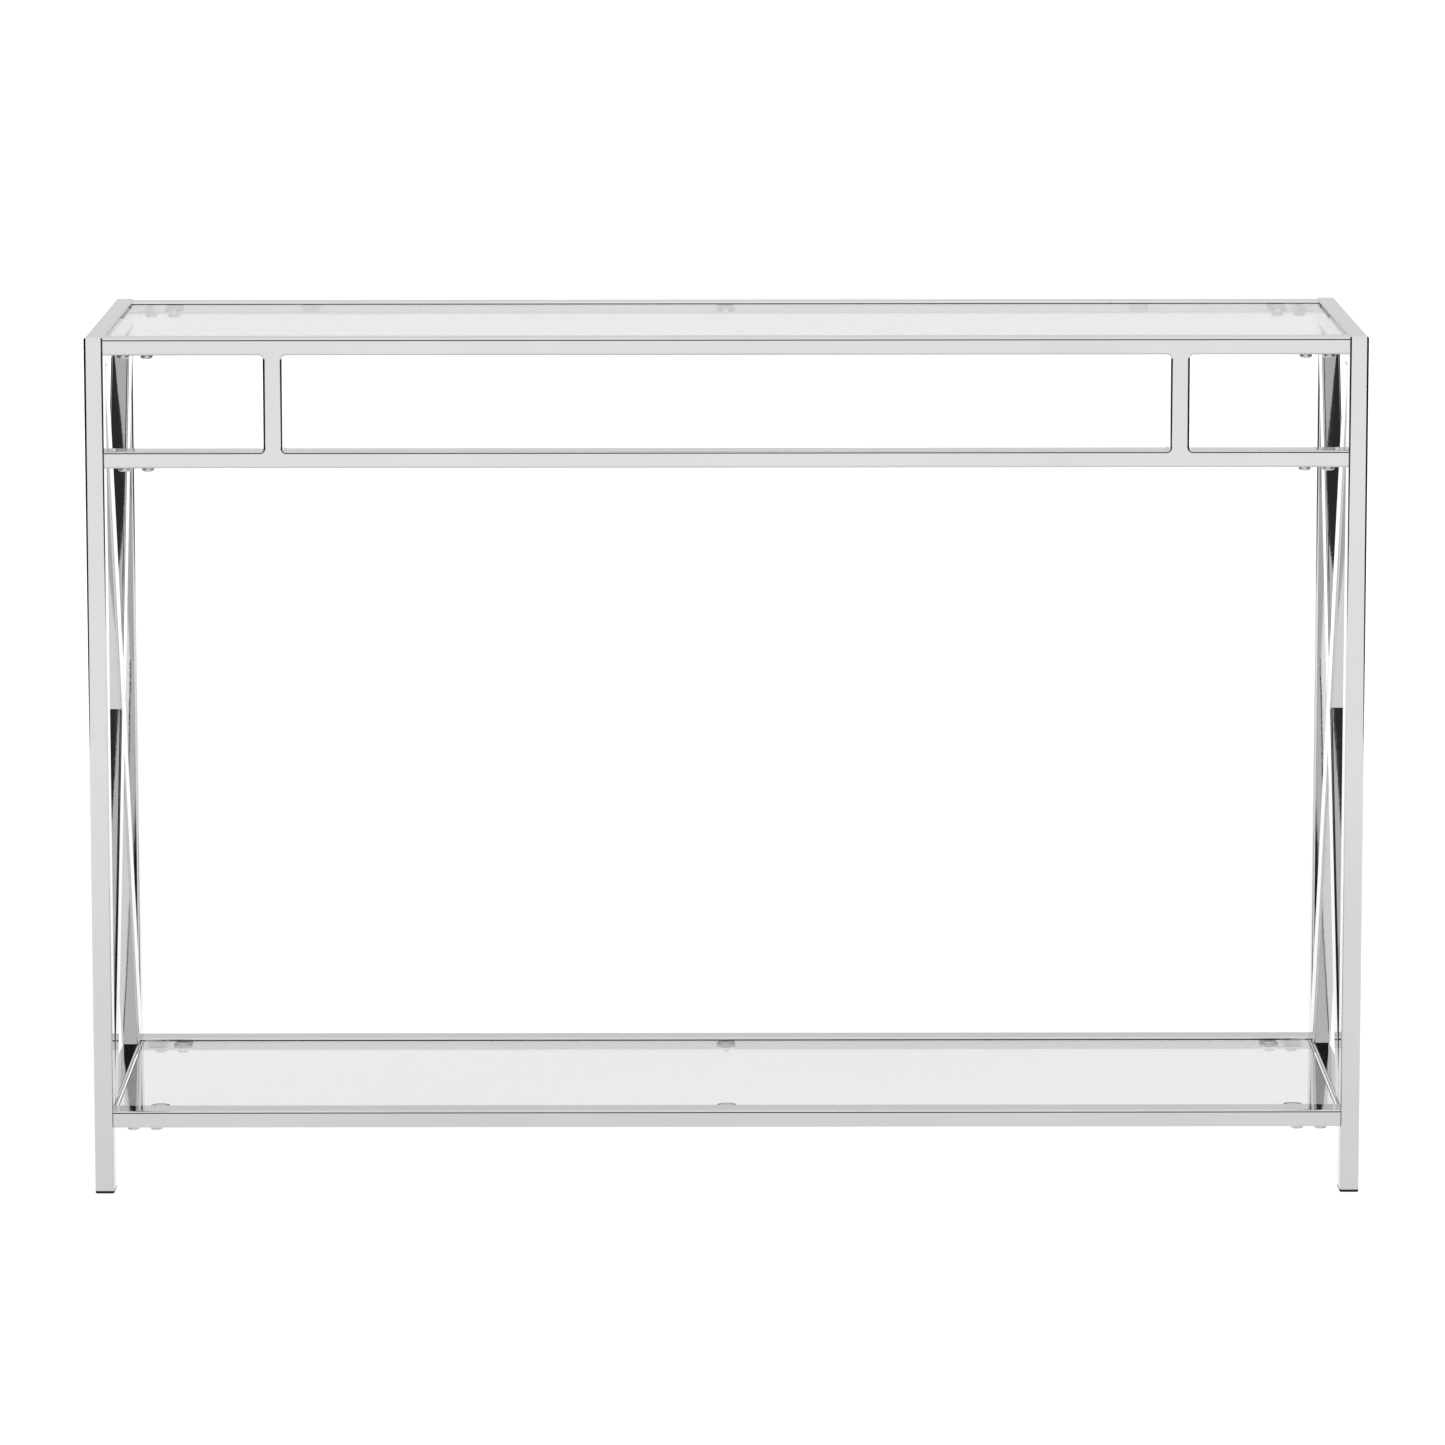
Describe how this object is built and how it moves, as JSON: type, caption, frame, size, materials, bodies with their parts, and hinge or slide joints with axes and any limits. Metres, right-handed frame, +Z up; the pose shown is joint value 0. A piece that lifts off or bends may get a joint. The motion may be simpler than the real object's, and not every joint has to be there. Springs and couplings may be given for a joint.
{
  "type": "console table",
  "caption": "Long narrow chrome tube console table with crossed side frames, inset clear glass top, glass lower shelf and an open ladder apron.",
  "frame": {"origin": "centre of the footprint on the floor", "axes": "+X along the table's length towards its right end seen from the front, +Y from the front apron to the back, +Z up"},
  "size_m": [1.2, 0.38, 0.816],
  "materials": {
    "chrome_tube": "polished chrome plate on rectangular steel tube",
    "chrome_fittings": "polished chrome plate on pressed steel tabs",
    "screw_steel": "bright zinc plated screws",
    "bare_steel": "mill finish bar, hidden inside the rails",
    "clear_glass": "clear tempered float glass with polished edges and a faint green tint",
    "clear_pad": "clear soft vinyl",
    "black_plastic": "satin moulded plastic"
  },
  "bodies": {
    "root": {"apron_bar_left": "chrome_tube", "apron_bar_right": "chrome_tube", "apron_bar_welds": "chrome_tube", "apron_rail": "chrome_tube", "apron_screws": "screw_steel", "apron_spigot_left": "bare_steel", "apron_spigot_right": "bare_steel", "left_brace_lower_half": "chrome_tube", "left_brace_upper_half": "chrome_tube", "left_brace_whole_bar": "chrome_tube", "left_front_foot": "black_plastic", "left_front_leg": "chrome_tube", "left_rear_foot": "black_plastic", "left_rear_leg": "chrome_tube", "left_side_lower_rail": "chrome_tube", "left_side_top_rail": "chrome_tube", "right_brace_lower_half": "chrome_tube", "right_brace_upper_half": "chrome_tube", "right_brace_whole_bar": "chrome_tube", "right_front_foot": "black_plastic", "right_front_leg": "chrome_tube", "right_rear_foot": "black_plastic", "right_rear_leg": "chrome_tube", "right_side_lower_rail": "chrome_tube", "right_side_top_rail": "chrome_tube", "shelf_front_pads": "clear_pad", "shelf_front_rail": "chrome_tube", "shelf_front_screws": "screw_steel", "shelf_front_spigot_left": "bare_steel", "shelf_front_spigot_right": "bare_steel", "shelf_front_tabs": "chrome_fittings", "shelf_glass": "clear_glass", "shelf_rear_pads": "clear_pad", "shelf_rear_rail": "chrome_tube", "shelf_rear_screws": "screw_steel", "shelf_rear_spigot_left": "bare_steel", "shelf_rear_spigot_right": "bare_steel", "shelf_rear_tabs": "chrome_fittings", "top_front_pads": "clear_pad", "top_front_rail": "chrome_tube", "top_front_screws": "screw_steel", "top_front_spigot_left": "bare_steel", "top_front_spigot_right": "bare_steel", "top_front_tabs": "chrome_fittings", "top_glass": "clear_glass", "top_rear_pads": "clear_pad", "top_rear_rail": "chrome_tube", "top_rear_screws": "screw_steel", "top_rear_spigot_left": "bare_steel", "top_rear_spigot_right": "bare_steel", "top_rear_tabs": "chrome_fittings"}
  },
  "joints": []
}
